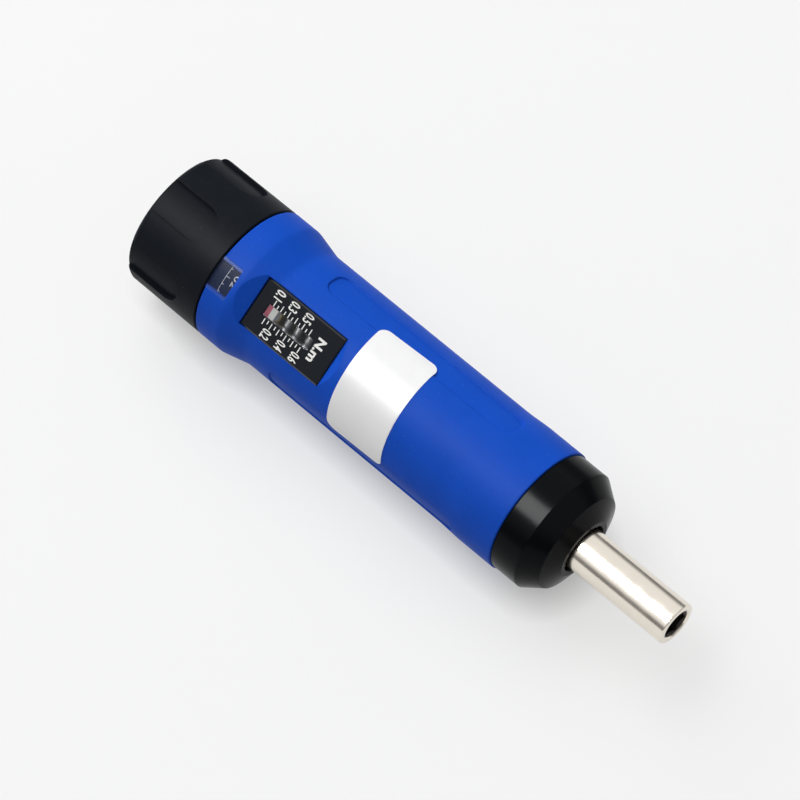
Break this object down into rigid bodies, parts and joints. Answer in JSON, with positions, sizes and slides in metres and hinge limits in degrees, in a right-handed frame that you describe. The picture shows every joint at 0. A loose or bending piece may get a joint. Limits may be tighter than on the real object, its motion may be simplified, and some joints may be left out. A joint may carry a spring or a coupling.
{
  "type": "torque screwdriver",
  "caption": "Preset torque screwdriver with a grooved adjusting knob, a scale window in its blue grip, a slip clutch and a hexagon bit holder.",
  "frame": {"origin": "centre of the adjusting knob's flat end face, on which the tool stands", "axes": "+Z along the tool's axis from the knob to the bit holder's mouth; the torque scale faces -Y"},
  "size_m": [0.0358, 0.0358, 0.1573],
  "materials": {
    "blue_grip": "matte moulded nylon, fine grain",
    "black_knob": "matte moulded nylon",
    "clear_lens": "clear polished acrylic",
    "label_film": "white film sticker, satin",
    "black_anodised": "black anodised, turned, satin",
    "scale_black": "black anodised plate, bright bevel, white print",
    "tube_metal": "drawn and turned",
    "steel": "ground steel",
    "nickel": "bright nickel plate",
    "bronze": "sintered bronze",
    "nut_brass": "turned brass",
    "spring_steel": "bright spring wire",
    "rubber_seal": "black nitrile",
    "drum_black": "black acetal, white print",
    "pointer_white": "white acetal, rear part painted red"
  },
  "bodies": {
    "handle": {"grip_housing": "blue_grip", "scale_plate": "scale_black", "scale_window": "clear_lens", "fine_scale_lens": "clear_lens", "blank_label": "label_film", "inner_tube": "tube_metal", "knob_o_ring": "rubber_seal", "rear_plug": "steel", "rear_thrust_washer": "bronze", "front_thrust_washer": "bronze", "spindle_bush": "bronze", "spacer_sleeve": "tube_metal", "front_bush": "bronze", "bush_circlip": "spring_steel", "nose_cap": "black_anodised", "main_spring": "spring_steel"},
    "knob": {"adjusting_knob": "black_knob", "fine_scale_drum": "drum_black", "lead_screw": "steel", "knob_screw": "steel", "knob_lock_washer": "spring_steel", "knob_end_cap": "black_knob"},
    "spring_nut": {"spring_nut": "nut_brass", "setting_pointer": "pointer_white", "guide_pin": "steel"},
    "clutch": {"clutch_plate": "steel", "clutch_balls": "steel"},
    "spindle": {"bit_holder": "nickel", "drive_cam": "steel", "cam_pin": "steel", "bit_magnet": "steel", "bit_clip": "spring_steel"}
  },
  "joints": [
    {"name": "knob_turn", "type": "hinge", "parent": "handle", "child": "knob", "pos_m": [0, 0, 0.01], "axis": [0, 0, 1], "range_deg": [0, 3816]},
    {"name": "nut_travel", "type": "slide", "parent": "handle", "child": "spring_nut", "axis": [0, 0, 1], "range_m": [0, 0.01192], "deforming": ["main_spring"]},
    {"name": "clutch_lift", "type": "slide", "parent": "handle", "child": "clutch", "axis": [0, 0, -1], "range_m": [0, 0.0006], "stiffness_N_per_m": 4500, "springref_m": -0.0023},
    {"name": "spindle_slip", "type": "hinge", "parent": "handle", "child": "spindle", "pos_m": [0, 0, 0.1], "axis": [0, 0, 1], "continuous": true}
  ],
  "couplings": [
    {"joint": "nut_travel", "follows": "knob_turn", "m_per_rad": 0.00017905}
  ]
}
